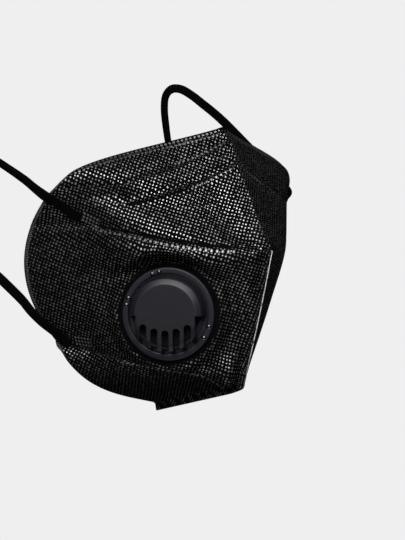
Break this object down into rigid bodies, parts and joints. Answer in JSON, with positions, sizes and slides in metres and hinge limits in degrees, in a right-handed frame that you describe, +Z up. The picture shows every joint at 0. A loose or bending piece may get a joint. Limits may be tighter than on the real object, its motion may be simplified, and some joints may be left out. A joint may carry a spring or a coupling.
{
  "type": "respirator mask",
  "caption": "Black folding respirator mask opened as worn, with a side exhalation valve, a nose wire relief, a welded front seam and ear loops",
  "frame": {"origin": "the inside of the top edge at the middle, where the mask sits on the bridge of the nose", "axes": "+Z up, the wearer looks along -Y, and +X is the wearer's left; the valve is on the -X side"},
  "size_m": [0.1728, 0.1757, 0.1493],
  "materials": {
    "cloth": "embossed",
    "elastic": "knitted",
    "valve_plastic": "satin",
    "silicone": "smooth"
  },
  "bodies": {
    "root": {"mask_body": "cloth", "ear_loop_left": "elastic", "ear_loop_right": "elastic", "valve_base": "valve_plastic", "valve_cap": "valve_plastic", "valve_diaphragm": "silicone", "valve_ring": "valve_plastic"}
  },
  "joints": []
}
